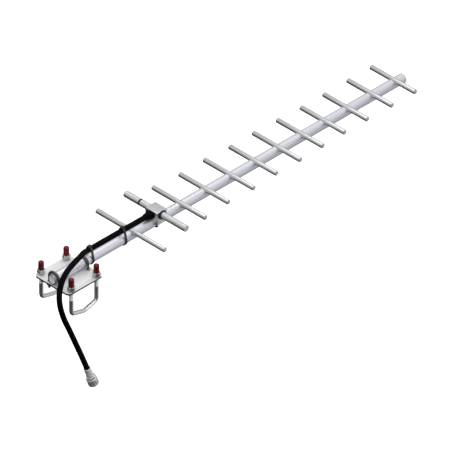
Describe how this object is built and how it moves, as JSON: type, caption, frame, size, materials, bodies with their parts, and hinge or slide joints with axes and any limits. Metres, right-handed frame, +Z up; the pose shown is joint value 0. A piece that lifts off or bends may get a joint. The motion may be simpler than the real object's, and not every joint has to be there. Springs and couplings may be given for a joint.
{
  "type": "yagi antenna",
  "caption": "Directional yagi antenna: rods welded across a round boom, a driven dipole on a feed block, a coax pigtail with a connector, and a V-bolt plate for a mast.",
  "frame": {"origin": "middle of the mast plate's underside, where the mast seats", "axes": "+X along the boom from the mast plate to the tip, the way the antenna points; +Z up, from the mast plate to the boom; +Y to the left, along the rods"},
  "size_m": [0.8853, 0.167, 0.2377],
  "materials": {
    "boom_aluminium": "satin drawn tube with faint lengthwise lines",
    "rod_aluminium": "satin drawn rod",
    "block_aluminium": "machined block, slightly dull",
    "plate_aluminium": "pale satin sheet",
    "zinc_steel": "bright zinc plate",
    "nickel": "nickel plate, semi-bright",
    "black_steel": "black oxide",
    "black_pvc": "smooth black jacket",
    "black_nylon": "moulded black nylon",
    "black_rubber": "matte rubber",
    "red_vinyl": "dipped dark red vinyl, soft gloss",
    "red_nylon": "dark red moulded ring",
    "white_plastic": "pale smooth plastic",
    "gold_plate": "gold plate"
  },
  "bodies": {
    "antenna": {"boom_end_plug": "white_plastic", "boom_nut_front_left": "zinc_steel", "boom_nut_front_right": "zinc_steel", "boom_nut_rear_left": "zinc_steel", "boom_nut_rear_right": "zinc_steel", "boom_tube": "boom_aluminium", "boom_u_bolt_front": "zinc_steel", "boom_u_bolt_rear": "zinc_steel", "boom_washer_front_left": "zinc_steel", "boom_washer_front_right": "zinc_steel", "boom_washer_rear_left": "zinc_steel", "boom_washer_rear_right": "zinc_steel", "cable_tie_front": "black_nylon", "cable_tie_rear": "black_nylon", "coax_cable": "black_pvc", "connector_body": "nickel", "connector_ferrule": "nickel", "connector_gasket": "black_rubber", "connector_insulator": "white_plastic", "connector_pin": "gold_plate", "director_rod_1": "rod_aluminium", "director_rod_10": "rod_aluminium", "director_rod_2": "rod_aluminium", "director_rod_3": "rod_aluminium", "director_rod_4": "rod_aluminium", "director_rod_5": "rod_aluminium", "director_rod_6": "rod_aluminium", "director_rod_7": "rod_aluminium", "director_rod_8": "rod_aluminium", "director_rod_9": "rod_aluminium", "driven_half_fed": "rod_aluminium", "driven_half_grounded": "rod_aluminium", "driven_tip": "rod_aluminium", "driven_tuning_ring": "red_nylon", "feed_block": "block_aluminium", "feed_block_screw": "black_steel", "feed_boot": "black_pvc", "feed_bush": "black_nylon", "feed_contact_pin": "gold_plate", "feed_core_insulator": "white_plastic", "mast_plate": "plate_aluminium", "mast_washer_left_front": "zinc_steel", "mast_washer_left_rear": "zinc_steel", "mast_washer_right_front": "zinc_steel", "mast_washer_right_rear": "zinc_steel", "reflector_rod": "rod_aluminium"},
    "connector_coupling": {"coupling_nut": "nickel"},
    "left_v_bolt": {"v_bolt_left": "zinc_steel"},
    "left_front_nut": {"mast_nut_left_front": "zinc_steel"},
    "left_front_cap": {"stud_cap_left_front": "red_vinyl"},
    "left_rear_nut": {"mast_nut_left_rear": "zinc_steel"},
    "left_rear_cap": {"stud_cap_left_rear": "red_vinyl"},
    "right_v_bolt": {"v_bolt_right": "zinc_steel"},
    "right_front_nut": {"mast_nut_right_front": "zinc_steel"},
    "right_front_cap": {"stud_cap_right_front": "red_vinyl"},
    "right_rear_nut": {"mast_nut_right_rear": "zinc_steel"},
    "right_rear_cap": {"stud_cap_right_rear": "red_vinyl"}
  },
  "joints": [
    {"name": "left_front_nut_turn", "type": "hinge", "parent": "antenna", "child": "left_front_nut", "pos_m": [0.0305, 0.037, 0.01], "axis": [0, 0, -1], "range_deg": [0, 5760]},
    {"name": "left_rear_nut_turn", "type": "hinge", "parent": "antenna", "child": "left_rear_nut", "pos_m": [-0.0305, 0.037, 0.01], "axis": [0, 0, -1], "range_deg": [0, 5760]},
    {"name": "left_v_bolt_draw", "type": "slide", "parent": "antenna", "child": "left_v_bolt", "axis": [0, 0, 1], "range_m": [0, 0.02]},
    {"name": "left_front_cap_pull", "type": "slide", "parent": "left_v_bolt", "child": "left_front_cap", "axis": [0, 0, 1], "range_m": [0, 0.025]},
    {"name": "left_rear_cap_pull", "type": "slide", "parent": "left_v_bolt", "child": "left_rear_cap", "axis": [0, 0, 1], "range_m": [0, 0.025]},
    {"name": "right_front_nut_turn", "type": "hinge", "parent": "antenna", "child": "right_front_nut", "pos_m": [0.0305, -0.037, 0.01], "axis": [0, 0, -1], "range_deg": [0, 5760]},
    {"name": "right_rear_nut_turn", "type": "hinge", "parent": "antenna", "child": "right_rear_nut", "pos_m": [-0.0305, -0.037, 0.01], "axis": [0, 0, -1], "range_deg": [0, 5760]},
    {"name": "right_v_bolt_draw", "type": "slide", "parent": "antenna", "child": "right_v_bolt", "axis": [0, 0, 1], "range_m": [0, 0.02]},
    {"name": "right_front_cap_pull", "type": "slide", "parent": "right_v_bolt", "child": "right_front_cap", "axis": [0, 0, 1], "range_m": [0, 0.025]},
    {"name": "right_rear_cap_pull", "type": "slide", "parent": "right_v_bolt", "child": "right_rear_cap", "axis": [0, 0, 1], "range_m": [0, 0.025]},
    {"name": "coupling_nut_turn", "type": "hinge", "parent": "antenna", "child": "connector_coupling", "pos_m": [-0.0124, -0.0611, -0.1672], "axis": [0.3141, -0.1157, -0.9423], "continuous": true}
  ],
  "couplings": [
    {"joint": "left_front_nut_turn", "follows": "left_v_bolt_draw", "rad_per_m": 5026.5},
    {"joint": "left_rear_nut_turn", "follows": "left_v_bolt_draw", "rad_per_m": 5026.5},
    {"joint": "right_front_nut_turn", "follows": "right_v_bolt_draw", "rad_per_m": 5026.5},
    {"joint": "right_rear_nut_turn", "follows": "right_v_bolt_draw", "rad_per_m": 5026.5}
  ]
}
